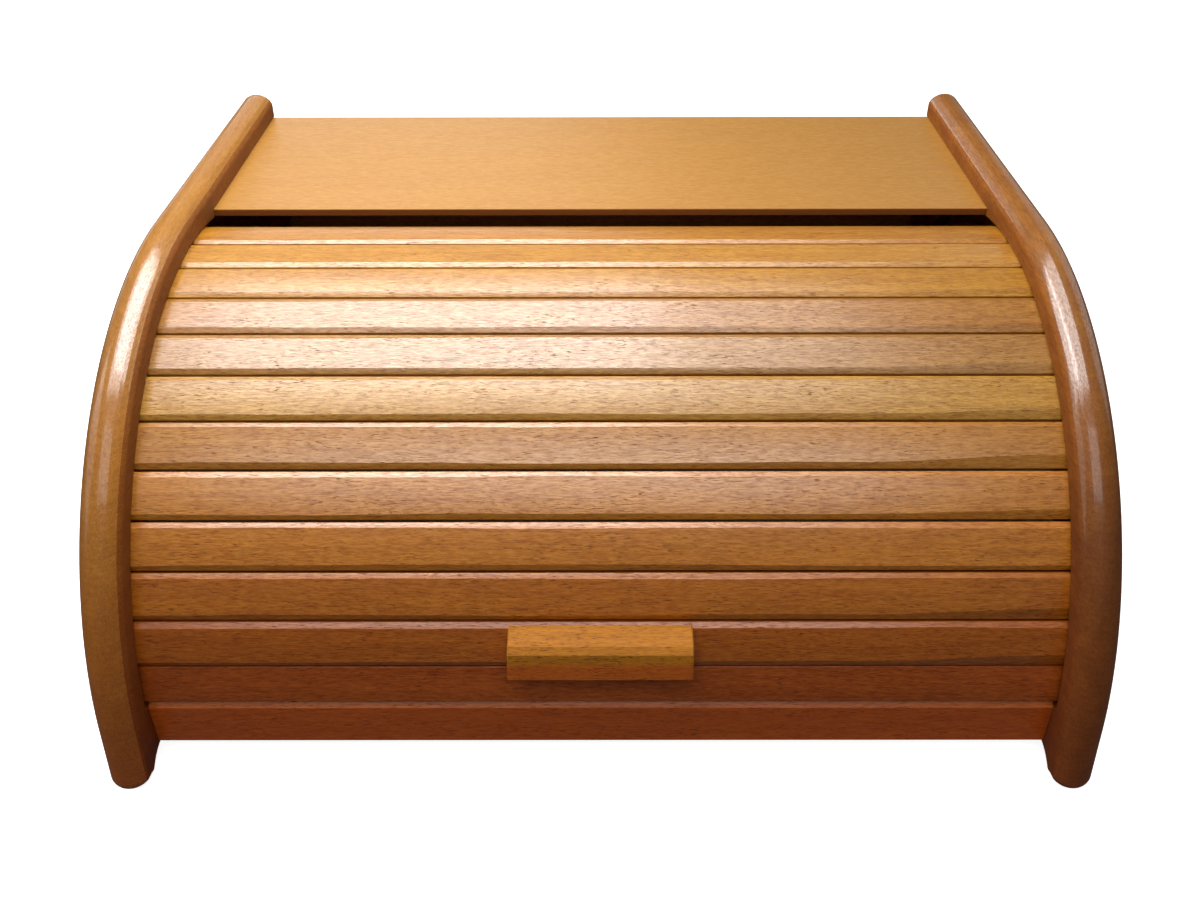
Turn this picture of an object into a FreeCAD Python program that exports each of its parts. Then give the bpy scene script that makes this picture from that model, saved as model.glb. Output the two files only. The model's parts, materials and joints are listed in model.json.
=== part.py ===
# Roll-top bread box: two side panels, a flat top board, and a shutter of wooden slats glued to a
# canvas, which runs in a circular groove routed in each panel. Millimetres, +Z up, front towards -Y.
# The origin is the centre of the box's footprint, on the surface that its feet stand on.
import FreeCAD, Part
import math
import os
import Sketcher

doc = FreeCAD.newDocument("bread_box")
Vector = FreeCAD.Vector
NODES = []

# ---------------------------------------------------------------- driving dimensions
DRIVING = {
    # the case
    "inner_width": 350.0,        # between the side panels' inner faces
    "overall_depth": 308.5,
    "overall_height": 169.0,
    "panel_thick": 16.5,
    "rim_crown": 5.2,            # how far the rounded rim stands above the panel's inner arris
    "rim_crown_inset": 8.2,      # from the inner face to the rim's highest line
    "rim_margin": 6.9,           # wood between the track and the panel's inner arris
    "foot_flare": 1.8,           # how far the front foot stands in front of the rim's circle
    "tip_radius": 5.0,           # where the front line meets the foot's flat
    "foot_flat": 1.0,            # the front foot's flat, from the tip's arc back
    "foot_rise": 8.0,            # height of the relief under the panel
    "rise_run": 13.0,            # length of the curve from a foot up to the relief
    "rear_foot": 24.0,           # the rear foot's flat
    # the shutter and its track
    "track_height": 9.1,         # centre of the track's circle above the floor
    "track_depth": 7.0,
    "track_slack": 1.1,          # track width less slat thickness
    "slat_play": 0.5,            # from the slats' faces to the track's outer wall
    "slat_end_play": 0.8,
    "slat_thick": 6.0,
    "slat_gap": 0.34,
    "slat_count": 12,
    "bevel_width": 2.0,          # the long edges' chamfers, across the slat
    "bevel_depth": 1.15,
    "end_slat_width": 15.9,
    "end_slat_thick": 4.6,
    "tail_bevel_width": 6.6,     # the last slat's shallow rear bevel
    "tail_bevel_depth": 0.7,
    "slot_width": 12.3,          # open slot between the closed shutter and the top board
    "stop_gap": 0.15,
    "canvas_thick": 0.6,
    "glue_line": 0.05,
    "canvas_inset": 4.0,
    # boards and rails
    "top_thick": 3.2,
    "top_level": 11.9,           # from the rim's top down to the top board's upper face
    "board_clearance": 0.25,     # from the track's circle up to the top board's front edge
    "top_back_inset": 2.0,
    "board_housing": 6.0,        # depth of the grooves that hold the boards
    "board_play": 0.15,
    "base_thick": 4.0,
    "base_height": 13.8,
    "rail_bottom": 9.8,
    "rail_height": 21.7,
    "rail_thick": 18.0,
    "rail_proud": 2.9,           # front rail's face, in front of the slats' backs
    "rail_chamfer": 2.4,
    "rail_groove": 5.0,
    "back_thick": 4.0,
    "back_rebate": 9.0,
    "top_rail_size": 15.0,
    # handle and fixings
    "handle_length": 69.0,
    "handle_depth": 10.0,
    "handle_low": 9.3,           # slat centre line to the handle's underside
    "handle_high": 8.7,
    "cove_depth": 2.4,
    "handle_screw_spacing": 40.0,
    "handle_screw_radius": 1.75,
    "handle_screw_length": 15.0,
    "dowel_radius": 3.0,
    "dowel_length": 24.0,
    "dowel_play": 0.05,
    "dowel_inset": 8.5,
    "back_screw_radius": 1.5,
    "back_screw_head_radius": 3.0,
    "back_screw_length": 14.0,
    "back_screw_end": 35.0,
    "back_screw_count": 4,
}
# ---------------------------------------------------------------- sizes that follow from them
DERIVED = {
    "half_inner": "inner_width / 2",
    "back_face": "overall_depth / 2",
    "rim_radius": "overall_height - track_height",
    "arris_radius": "rim_radius - rim_crown",
    "track_radius": "arris_radius - rim_margin",
    "track_width": "slat_thick + track_slack",
    "track_centre": "rim_radius + foot_flare - back_face",
    "face_apothem": "track_radius - slat_play",
    "back_apothem": "face_apothem - slat_thick",
    "slat_length": "inner_width + 2 * (track_depth - slat_end_play)",
    "rail_top": "rail_bottom + rail_height",
    "rail_front": "track_centre - back_apothem - rail_proud",
    "rail_back": "rail_front + rail_thick",
    "top_upper": "overall_height - top_level",
    "top_under": "top_upper - top_thick",
    # the board starts as far behind the track's centre as the circle needs to fall below it
    "top_start": "sqrt(track_radius ^ 2 - (top_under - board_clearance - track_height) ^ 2)",
    "back_inner": "back_face - back_thick",
    "rear_rail_front": "back_inner - rail_thick",
    # angles on the track's circle, from straight ahead, up and over towards the back
    "shutter_start": "asin((rail_top + stop_gap - track_height) / back_apothem)",
    "shutter_end": "90 deg + asin(top_start / track_radius) - slot_width / track_radius * 180 deg / pi",
    "end_pitch": "2 * atan((end_slat_width + slat_gap) / 2 / back_apothem)",
    "pitch": "(shutter_end - shutter_start - end_pitch) / (slat_count - 1)",
    "slat_width": "2 * back_apothem * tan(pitch / 2) - slat_gap",
    "handle_angle": "shutter_start + end_pitch + pitch / 2",
    # how far the shutter rolls before the last slat meets the back panel
    "shutter_travel": "180 deg - acos((back_inner - track_centre) / face_apothem) - shutter_end",
    # the front line of the panel, tangent to the rim's circle and to the tip's arc
    "tip_centre": "tip_radius - back_face",
    "tip_distance": "sqrt((track_centre - tip_centre) ^ 2 + (track_height - tip_radius) ^ 2)",
    "front_lean": "acos((rim_radius - tip_radius) / tip_distance)"
                  " - atan((track_height - tip_radius) / (track_centre - tip_centre))",
    "dowel_hole": "dowel_radius + dowel_play",
}

sheet = doc.addObject("Spreadsheet::Sheet", "sizes")
for row, (name, value) in enumerate(DRIVING.items(), start=1):
    sheet.set(f"A{row}", name)
    sheet.set(f"B{row}", str(value))
    sheet.setAlias(f"B{row}", name)
for row, (name, formula) in enumerate(DERIVED.items(), start=len(DRIVING) + 2):
    sheet.set(f"A{row}", name)
    sheet.set(f"B{row}", "=" + formula)
    sheet.setAlias(f"B{row}", name)
doc.recompute()


def cell(name):
    """The value of one cell, as a plain number."""
    value = getattr(sheet, name)
    return float(getattr(value, "Value", value))


def linked(formula):
    """The formula with each of its names looked up in the sheet."""
    words = []
    word = ""
    for letter in formula + " ":
        if letter.isalnum() or letter == "_":
            word += letter
            continue
        known = word in DRIVING or word in DERIVED
        words.append(("sizes." + word if known else word) + letter)
        word = ""
    return "".join(words).strip()


def number(formula):
    """The present value of a formula."""
    value = sheet.evalExpression(linked(formula))
    return float(getattr(value, "Value", value))


def bind(thing, **formulas):
    """Tie properties of an object to the sheet."""
    for prop, formula in formulas.items():
        thing.setExpression(prop, linked(formula))


def place(thing, x="0", y="0", z="0", turn=None):
    """Tie a Placement to the sheet; turn is an angle about -X, from the front up and over."""
    if turn is not None:
        thing.Placement = FreeCAD.Placement(Vector(), FreeCAD.Rotation(Vector(-1, 0, 0), number(turn)))
        thing.setExpression("Placement.Rotation.Angle", linked(turn))
    for axis, formula in zip("xyz", (x, y, z)):
        thing.setExpression("Placement.Base." + axis, linked(formula))


def keep(thing, name):
    """Name a finished piece and list it for export."""
    thing.Label = name
    NODES.append(thing)
    return thing


# ---------------------------------------------------------------- sketch helpers
def new_body(name):
    return keep(doc.addObject("PartDesign::Body", name), name)


def new_sketch(body, name, plane, offset="0"):
    """A sketch on one of the body's origin planes, moved along the plane's normal."""
    sketch = body.newObject("Sketcher::SketchObject", name)
    base = [f for f in body.Origin.OriginFeatures if f.Role == plane][0]
    sketch.AttachmentSupport = [(base, "")]
    sketch.MapMode = "FlatFace"
    sketch.setExpression("AttachmentOffset.Base.z", linked(offset))
    return sketch


def draw_outline(sketch, corners, arcs=None, closed=True):
    """Edges from corner to corner, every corner held at its two coordinates by formulas.
    arcs gives, for an edge's number, its centre and radius as three formulas."""
    arcs = arcs or {}
    points = [Vector(number(u), number(v), 0) for u, v in corners]
    edge_count = len(points) if closed else len(points) - 1
    ends = []
    for i in range(edge_count):
        start, end = points[i], points[(i + 1) % len(points)]
        if i not in arcs:
            sketch.addGeometry(Part.LineSegment(start, end))
            ends.append((1, 2))
            continue
        centre = Vector(number(arcs[i][0]), number(arcs[i][1]), 0)
        first, last = start - centre, end - centre
        left_turn = (first.x * last.y - first.y * last.x) > 0
        if not left_turn:
            first, last = last, first
        angles = [math.atan2(first.y, first.x), math.atan2(last.y, last.x)]
        circle = Part.Circle(centre, Vector(0, 0, 1), number(arcs[i][2]))
        sketch.addGeometry(Part.ArcOfCircle(circle, *angles))
        ends.append((1, 2) if left_turn else (2, 1))
    for i in range(edge_count - (0 if closed else 1)):
        following = (i + 1) % edge_count
        sketch.addConstraint(
            Sketcher.Constraint("Coincident", i, ends[i][1], following, ends[following][0]))
    for i, (u, v) in enumerate(corners):
        edge, end = (i, ends[i][0]) if i < edge_count else (i - 1, ends[i - 1][1])
        for kind, formula, value in (("DistanceX", u, points[i].x), ("DistanceY", v, points[i].y)):
            index = sketch.addConstraint(Sketcher.Constraint(kind, -1, 1, edge, end, value))
            sketch.setExpression(f"Constraints[{index}]", linked(formula))
    for i, (_, _, radius) in arcs.items():
        index = sketch.addConstraint(Sketcher.Constraint("Radius", i, number(radius)))
        sketch.setExpression(f"Constraints[{index}]", linked(radius))
    return sketch


def draw_circles(sketch, centres, radius):
    for i, (u, v) in enumerate(centres):
        centre = Vector(number(u), number(v), 0)
        sketch.addGeometry(Part.Circle(centre, Vector(0, 0, 1), number(radius)))
        for kind, formula, value in (
                ("DistanceX", u, centre.x), ("DistanceY", v, centre.y), ("Radius", radius, number(radius))):
            where = (i,) if kind == "Radius" else (-1, 1, i, 3)
            index = sketch.addConstraint(Sketcher.Constraint(kind, *where, value))
            sketch.setExpression(f"Constraints[{index}]", linked(formula))
    return sketch


def box_corners(u_low, v_low, u_high, v_high):
    return [(u_low, v_low), (u_high, v_low), (u_high, v_high), (u_low, v_high)]


def on_circle(radius, angle):
    """A point on a circle about the track's centre, in the track's own frame."""
    return (f"-({radius}) * cos({angle})", f"({radius}) * sin({angle})")


def in_case(point):
    """The same point in the case's frame."""
    return (f"track_centre + {point[0]}", f"track_height + {point[1]}")


def pad(body, sketch, length, midplane=False, reverse=False):
    feature = body.newObject("PartDesign::Pad", sketch.Name + "_pad")
    feature.Profile = sketch
    feature.SideType = "Symmetric" if midplane else "One side"
    feature.Reversed = reverse
    bind(feature, Length=length)
    doc.recompute()
    return feature


def pocket(body, sketch, length, reverse=False):
    """A pocket that must take wood away."""
    before = body.Shape.Volume
    feature = body.newObject("PartDesign::Pocket", sketch.Name + "_cut")
    feature.Profile = sketch
    feature.Reversed = reverse
    bind(feature, Length=length)
    doc.recompute()
    if not body.Shape.Volume < before:
        raise RuntimeError(f"{sketch.Name} cuts nothing")
    return feature


# ---------------------------------------------------------------- side panels
RIM_TOP = "overall_height"
TANGENT = in_case(on_circle("rim_radius", "front_lean"))
TIP_TANGENT = ("tip_centre - tip_radius * cos(front_lean)", "tip_radius + tip_radius * sin(front_lean)")
DOWELS_FRONT = [("rail_front + dowel_inset", "rail_bottom + rail_height * 0.22"),
                ("rail_front + dowel_inset", "rail_bottom + rail_height * 0.74")]
DOWELS_REAR = [("back_inner - dowel_inset", "rail_bottom + rail_height * 0.22"),
               ("back_inner - dowel_inset", "rail_bottom + rail_height * 0.74"),
               ("back_inner - top_rail_size / 2", "top_under - top_rail_size / 2")]


def panel_outline():
    """Corners and arcs of the panel, from the rear foot round by the back, top and front."""
    corners = [
        ("back_face", "0"),
        ("back_face", RIM_TOP),
        ("track_centre", RIM_TOP),
        TANGENT,
        TIP_TANGENT,
        ("tip_centre", "0"),
        ("tip_centre + foot_flat", "0"),
        ("tip_centre + foot_flat + rise_run", "foot_rise"),
        ("back_face - rear_foot - rise_run", "foot_rise"),
        ("back_face - rear_foot", "0"),
    ]
    rise_radius = "(rise_run ^ 2 + foot_rise ^ 2) / (2 * foot_rise)"
    arcs = {
        2: ("track_centre", "track_height", "rim_radius"),
        4: ("tip_centre", "tip_radius", "tip_radius"),
        6: ("tip_centre + foot_flat + rise_run", f"foot_rise - {rise_radius}", rise_radius),
        8: ("back_face - rear_foot - rise_run", f"foot_rise - {rise_radius}", rise_radius),
    }
    return corners, arcs


def round_rim(panel, name, side):
    """The rim: a quarter round to the outer face and a flatter arc down to the sharp inner arris.
    Both waste pieces are run along the top, the circle and the front line."""
    overrun = 12.0
    start = "back_face + 5"
    spine = new_sketch(panel, name + "_rim_line", "YZ_Plane")
    foot_end = (f"{TIP_TANGENT[0]} - {overrun} * sin(front_lean)",
                f"{TIP_TANGENT[1]} - {overrun} * cos(front_lean)")
    draw_outline(spine, [(start, RIM_TOP), ("track_centre", RIM_TOP), TANGENT, foot_end],
                 {1: ("track_centre", "track_height", "rim_radius")}, closed=False)
    crown = f"{side} * (half_inner + rim_crown_inset)"
    outer = f"{side} * (half_inner + panel_thick)"
    inner = f"{side} * half_inner"
    outer_radius = "(panel_thick - rim_crown_inset)"
    inner_radius = "((rim_crown_inset ^ 2 + rim_crown ^ 2) / (2 * rim_crown))"
    margin = f"{side} * 2"
    waste = {
        "outer": ([(crown, RIM_TOP), (outer, f"{RIM_TOP} - {outer_radius}"),
                   (f"{outer} + {margin}", f"{RIM_TOP} - {outer_radius}"),
                   (f"{outer} + {margin}", f"{RIM_TOP} + 2"), (crown, f"{RIM_TOP} + 2")],
                  {0: (crown, f"{RIM_TOP} - {outer_radius}", outer_radius)}),
        "inner": ([(crown, RIM_TOP), (inner, f"{RIM_TOP} - rim_crown"),
                   (f"{inner} - {margin}", f"{RIM_TOP} - rim_crown"),
                   (f"{inner} - {margin}", f"{RIM_TOP} + 2"), (crown, f"{RIM_TOP} + 2")],
                  {0: (crown, f"{RIM_TOP} - {inner_radius}", inner_radius)}),
    }
    for part, (corners, arcs) in waste.items():
        section = new_sketch(panel, f"{name}_rim_{part}", "XZ_Plane", f"-({start})")
        draw_outline(section, corners, arcs)
        doc.recompute()
        before = panel.Shape.Volume
        sweep = panel.newObject("PartDesign::SubtractivePipe", f"{name}_rim_{part}_cut")
        sweep.Profile = section
        sweep.Spine = (spine, ["Edge1", "Edge2", "Edge3"])
        doc.recompute()
        if not panel.Shape.Volume < before:
            raise RuntimeError(f"{name} rim {part} cuts nothing")


def side_panel(name, side):
    """One side panel; side is -1 at the left and 1 at the right."""
    panel = new_body(name)
    inner_face = f"{side} * half_inner"
    outline = new_sketch(panel, name + "_outline", "YZ_Plane", inner_face)
    draw_outline(outline, *panel_outline())
    pad(panel, outline, "panel_thick", reverse=side < 0)
    round_rim(panel, name, side)

    into_wood = side > 0
    track = new_sketch(panel, name + "_track", "YZ_Plane", inner_face)
    track_start = "shutter_start - 1 deg"
    run_out = "180 deg"
    inner_wall = "track_radius - track_width"
    draw_outline(
        track,
        [in_case(on_circle("track_radius", track_start)), in_case(on_circle("track_radius", run_out)),
         in_case(on_circle(inner_wall, run_out)), in_case(on_circle(inner_wall, track_start))],
        {0: ("track_centre", "track_height", "track_radius"),
         2: ("track_centre", "track_height", inner_wall)})
    pocket(panel, track, "track_depth", into_wood)

    housings = new_sketch(panel, name + "_housings", "YZ_Plane", inner_face)
    draw_outline(housings, box_corners("track_centre + top_start", "top_under - board_play",
                                       "back_face + 1", "top_upper + board_play"))
    pocket(panel, housings, "board_housing", into_wood)
    base = new_sketch(panel, name + "_base_housing", "YZ_Plane", inner_face)
    draw_outline(base, box_corners("rail_back - rail_groove - board_play", "base_height - board_play",
                                   "rear_rail_front + rail_groove + board_play",
                                   "base_height + base_thick + board_play"))
    pocket(panel, base, "board_housing", into_wood)

    rebate = new_sketch(panel, name + "_rebate", "YZ_Plane", inner_face)
    draw_outline(rebate, box_corners("back_inner", "rail_bottom", "back_face + 1", "top_under - board_play"))
    pocket(panel, rebate, "back_rebate", into_wood)

    dowel_holes = new_sketch(panel, name + "_dowel_holes", "YZ_Plane", inner_face)
    draw_circles(dowel_holes, DOWELS_FRONT + DOWELS_REAR, "dowel_hole")
    pocket(panel, dowel_holes, "dowel_length / 2", into_wood)
    return panel


side_panel("left_side_panel", -1)
side_panel("right_side_panel", 1)


# ---------------------------------------------------------------- boards
def board(name, x_size, y_low, y_high, z_low, z_size):
    """A plain board, centred across the box."""
    piece = keep(doc.addObject("Part::Box", name), name)
    bind(piece, Length=x_size, Width=f"({y_high}) - ({y_low})", Height=z_size)
    place(piece, f"-({x_size}) / 2", y_low, z_low)
    return piece


board("top_board", "inner_width + 2 * (board_housing - board_play)", "track_centre + top_start + board_play",
      "back_face - top_back_inset", "top_under", "top_thick")
board("base_board", "inner_width + 2 * (board_housing - board_play)", "rail_back - rail_groove",
      "rear_rail_front + rail_groove", "base_height", "base_thick")

BACK_SCREW_LEVELS = ["rail_bottom + rail_height * 0.48", "top_under - top_rail_size / 2"]


def screw_columns():
    """The back panel's screws, evenly spaced between the two end ones."""
    count = int(cell("back_screw_count"))
    spacing = f"(inner_width - 2 * back_screw_end) / ({count} - 1)"
    return [f"-half_inner + back_screw_end + {i} * {spacing}" for i in range(count)]


back = new_body("back_panel")
back_outline = new_sketch(back, "back_outline", "XZ_Plane", "-back_face")
draw_outline(back_outline, box_corners("-(half_inner + back_rebate - board_play)", "rail_bottom + board_play",
                                       "half_inner + back_rebate - board_play", "top_under - 2 * board_play"))
pad(back, back_outline, "back_thick")
back_hole_spots = new_sketch(back, "back_hole_spots", "XZ_Plane", "-back_face")
draw_circles(back_hole_spots, [(column, level) for level in BACK_SCREW_LEVELS for column in screw_columns()],
             "back_screw_radius")
doc.recompute()
solid_back = back.Shape.Volume
back_holes = back.newObject("PartDesign::Hole", "back_holes")
back_holes.Profile = back_hole_spots
back_holes.Reversed = True
back_holes.DepthType = "ThroughAll"
back_holes.HoleCutType = "Countersink"
back_holes.HoleCutCountersinkAngle = 90
bind(back_holes, Diameter="2 * (back_screw_radius + dowel_play)",
     HoleCutDiameter="2 * (back_screw_head_radius + dowel_play)")
doc.recompute()
if not back.Shape.Volume < solid_back:
    raise RuntimeError("the back panel's holes cut nothing")


# ---------------------------------------------------------------- rails
def rail(name, section, length="inner_width"):
    """A rail between the panels, drawn as its section and padded both ways."""
    piece = new_body(name)
    sketch = new_sketch(piece, name + "_section", "YZ_Plane")
    draw_outline(sketch, section)
    pad(piece, sketch, length, midplane=True)
    return piece


def dowel_ends(piece, name, centres):
    """Blind dowel holes in both ends of a rail."""
    for side in (-1, 1):
        holes = new_sketch(piece, f"{name}_end_{'left' if side < 0 else 'right'}", "YZ_Plane",
                           f"{side} * half_inner")
        draw_circles(holes, centres, "dowel_hole")
        pocket(piece, holes, "dowel_length / 2", reverse=side < 0)


def pilot_holes(piece, name, level):
    """Pilot holes for the back panel's screws, drilled from the rail's rear face."""
    holes = new_sketch(piece, name + "_pilots", "XZ_Plane", "-back_inner")
    draw_circles(holes, [(column, level) for column in screw_columns()], "back_screw_radius + dowel_play")
    pocket(piece, holes, "back_screw_length - back_thick + 0.5", reverse=True)


groove_low = "base_height - board_play"
groove_high = "base_height + base_thick + board_play"
groove_floor = "rail_back - rail_groove - board_play"
front_rail = rail("front_rail", [
    ("rail_front", "rail_bottom"), ("rail_back", "rail_bottom"), ("rail_back", groove_low),
    (groove_floor, groove_low), (groove_floor, groove_high), ("rail_back", groove_high),
    ("rail_back", "rail_top"), ("rail_front + rail_chamfer", "rail_top"),
    ("rail_front", "rail_top - rail_chamfer")])
dowel_ends(front_rail, "front_rail", DOWELS_FRONT)

rear_rail = rail("rear_bottom_rail", [
    ("back_inner", "rail_bottom"), ("back_inner", "rail_top"), ("rear_rail_front", "rail_top"),
    ("rear_rail_front", groove_high), ("rear_rail_front + rail_groove + board_play", groove_high),
    ("rear_rail_front + rail_groove + board_play", groove_low), ("rear_rail_front", groove_low),
    ("rear_rail_front", "rail_bottom")])
dowel_ends(rear_rail, "rear_bottom_rail", DOWELS_REAR[:2])
pilot_holes(rear_rail, "rear_bottom_rail", BACK_SCREW_LEVELS[0])

top_rail = rail("rear_top_rail", box_corners("back_inner - top_rail_size", "top_under - top_rail_size",
                                             "back_inner", "top_under"))
dowel_ends(top_rail, "rear_top_rail", DOWELS_REAR[2:])
pilot_holes(top_rail, "rear_top_rail", BACK_SCREW_LEVELS[1])


# ---------------------------------------------------------------- slats
def slat(number_in_order):
    """One slat, drawn at the front of the track and turned to its place about the track's centre.
    The first is plain and thinner; the last has a wide, shallow bevel at its rear."""
    name = f"slat_{number_in_order:02d}"
    body = new_body(name)
    section = new_sketch(body, name + "_section", "YZ_Plane")
    if number_in_order == 1:
        half = "end_slat_width / 2"
        face = "back_apothem + end_slat_thick"
        corners = box_corners(f"-({face})", f"-({half})", "-back_apothem", half)
        angle = "shutter_start + end_pitch / 2"
    else:
        half = "slat_width / 2"
        is_last = number_in_order == int(cell("slat_count"))
        rear_width, rear_depth = "bevel_width", "bevel_depth"
        if is_last:
            rear_width, rear_depth = "tail_bevel_width", "tail_bevel_depth"
        corners = [("-back_apothem", f"-{half}"), ("-back_apothem", half),
                   (f"-face_apothem + {rear_depth}", half), ("-face_apothem", f"{half} - {rear_width}"),
                   ("-face_apothem", f"bevel_width - {half}"), ("-face_apothem + bevel_depth", f"-{half}")]
        angle = f"shutter_start + end_pitch + ({number_in_order} - 1.5) * pitch"
    draw_outline(section, corners)
    pad(body, section, "slat_length", midplane=True)
    place(body, "0", "track_centre", "track_height", turn=angle)
    return body


slats = [slat(i) for i in range(1, int(cell("slat_count")) + 1)]

# the handle's screws pass through the second slat and the canvas
HANDLE_SCREWS = ["-handle_screw_spacing / 2", "handle_screw_spacing / 2"]
handle_slat = slats[1]
holes = new_sketch(handle_slat, "slat_02_screw_holes", "XZ_Plane", "face_apothem")
draw_circles(holes, [(x, "0") for x in HANDLE_SCREWS], "handle_screw_radius + dowel_play")
pocket(handle_slat, holes, "slat_thick + 1")


# ---------------------------------------------------------------- canvas
def canvas_corners():
    """The cloth lies flat on each slat's back and folds at the joints between slats. It is drawn
    with the handle's slat straight ahead, and turned to its place with it."""
    count = int(cell("slat_count"))
    edge_slack = "0.3 deg"
    # each corner's angle, and the half turn between the flats that meet there
    corners = [(f"shutter_start + {edge_slack}", f"end_pitch / 2 - {edge_slack}"),
               ("shutter_start + 0.75 * end_pitch + 0.25 * pitch", "(end_pitch + pitch) / 4")]
    corners += [(f"shutter_start + end_pitch + {i} * pitch", "pitch / 2") for i in range(1, count - 1)]
    corners.append((f"shutter_end - {edge_slack}", f"pitch / 2 - {edge_slack}"))
    front = "back_apothem - glue_line"
    outer = [on_circle(f"({front}) / cos({turn})", f"{angle} - handle_angle") for angle, turn in corners]
    inner = [on_circle(f"({front} - canvas_thick) / cos({turn})", f"{angle} - handle_angle")
             for angle, turn in corners]
    return outer + inner[::-1]


canvas = new_body("shutter_canvas")
canvas_section = new_sketch(canvas, "canvas_section", "YZ_Plane")
draw_outline(canvas_section, canvas_corners())
pad(canvas, canvas_section, "inner_width - 2 * canvas_inset", midplane=True)
canvas_holes = new_sketch(canvas, "canvas_holes", "XZ_Plane", "back_apothem")
draw_circles(canvas_holes, [(x, "0") for x in HANDLE_SCREWS], "handle_screw_radius + dowel_play")
pocket(canvas, canvas_holes, "canvas_thick + 1")
place(canvas, "0", "track_centre", "track_height", turn="handle_angle")

# ---------------------------------------------------------------- handle
handle = new_body("handle")
handle_section = new_sketch(handle, "handle_section", "YZ_Plane")
cove_radius = "((handle_depth * 0.4) ^ 2 + cove_depth ^ 2) / (2 * cove_depth)"
draw_outline(
    handle_section,
    [("-face_apothem", "-handle_low"), ("-face_apothem", "handle_high"),
     ("-face_apothem - handle_depth * 0.82", "handle_high * 0.42"),
     ("-face_apothem - handle_depth * 0.985", "handle_high * 0.1"),
     ("-face_apothem - handle_depth", "-handle_low"),
     ("-face_apothem - handle_depth * 0.9", "-handle_low"),
     ("-face_apothem - handle_depth * 0.1", "-handle_low")],
    {5: ("-face_apothem - handle_depth * 0.5", f"-handle_low + cove_depth - {cove_radius}", cove_radius)})
pad(handle, handle_section, "handle_length", midplane=True)
pilots = new_sketch(handle, "handle_pilots", "XZ_Plane", "face_apothem")
draw_circles(pilots, [(x, "0") for x in HANDLE_SCREWS], "handle_screw_radius + dowel_play")
pocket(handle, pilots, "handle_screw_length - slat_thick - canvas_thick + 0.5", reverse=True)
place(handle, "0", "track_centre", "track_height", turn="handle_angle")


# ---------------------------------------------------------------- dowels and screws
def dowels(name, centres):
    """Beech dowels, half in the rail's end and half in the panel."""
    pins = []
    for i, (y, z) in enumerate(centres):
        for side in (-1, 1):
            pin = doc.addObject("Part::Cylinder", f"{name}_{i}_{'left' if side < 0 else 'right'}")
            pin.Placement = FreeCAD.Placement(Vector(), FreeCAD.Rotation(Vector(0, 1, 0), 90))
            bind(pin, Radius="dowel_radius", Height="dowel_length - 0.6")
            place(pin, f"{side} * half_inner - dowel_length / 2 + 0.3", y, z)
            pins.append(pin)
    group = keep(doc.addObject("Part::Compound", name), name)
    group.Links = pins
    return group


dowels("front_rail_dowels", DOWELS_FRONT)
dowels("rear_rail_dowels", DOWELS_REAR)


def turned(profile_edges):
    """A solid turned about the Y axis from the edges of its half section."""
    wire = Part.Wire([edge.toShape() for edge in profile_edges])
    return Part.Face(wire).revolve(Vector(), Vector(0, 1, 0), 360)


def half_section(points):
    """Straight edges from point to point, each point as its radius and its place along Y."""
    corners = [Vector(radius, along, 0) for radius, along in points]
    return [Part.LineSegment(a, b) for a, b in zip(corners, corners[1:])]


def pan_screw(shank_radius, length, head_radius, head_height, tip_length):
    """A screw along +Y: a domed head behind the origin and a pointed shank in front of it."""
    edge_height = head_height * 0.3
    rise = head_height - edge_height
    dome_radius = (rise ** 2 + head_radius ** 2) / (2 * rise)
    dome_centre = dome_radius - head_height
    half_angle = math.asin(head_radius / dome_radius) / 2
    edges = half_section([(0, -head_height), (0, length), (shank_radius, length - tip_length),
                          (shank_radius, 0), (head_radius, 0), (head_radius, -edge_height)])
    shoulder = Vector(dome_radius * math.sin(half_angle), dome_centre - dome_radius * math.cos(half_angle), 0)
    edges.append(Part.Arc(Vector(head_radius, -edge_height, 0), shoulder, Vector(0, -head_height, 0)))
    return turned(edges)


def countersunk_screw(shank_radius, length, head_radius, tip_length):
    """A screw along +Y with its flat head at the origin."""
    cone = head_radius - shank_radius
    return turned(half_section([(0, 0), (0, length), (shank_radius, length - tip_length),
                                (shank_radius, cone), (head_radius, 0), (0, 0)]))


def screw_group(name, screw, spots):
    """Copies of one screw, each with its head's seat at a spot, all pointing to -Y or +Y."""
    copies = []
    for spot, turn in spots:
        copy = screw.copy()
        copy.Placement = FreeCAD.Placement(spot, FreeCAD.Rotation(Vector(0, 0, 1), turn))
        copies.append(copy)
    group = keep(doc.addObject("Part::Feature", name), name)
    group.Shape = Part.makeCompound(copies)
    return group


TURNED_ABOUT = 180
handle_screw = pan_screw(cell("handle_screw_radius"), cell("handle_screw_length"), 3.4, 2.2, 3.0)
seat = cell("back_apothem") - cell("glue_line") - cell("canvas_thick")
handle_screws = screw_group("handle_screws", handle_screw,
                            [(Vector(number(x), -seat, 0), TURNED_ABOUT) for x in HANDLE_SCREWS])
place(handle_screws, "0", "track_centre", "track_height", turn="handle_angle")

back_screw = countersunk_screw(cell("back_screw_radius"), cell("back_screw_length"),
                               cell("back_screw_head_radius"), 2.5)
screw_group("back_panel_screws", back_screw,
            [(Vector(number(column), cell("back_face"), number(level)), TURNED_ABOUT)
             for level in BACK_SCREW_LEVELS for column in screw_columns()])

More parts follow.
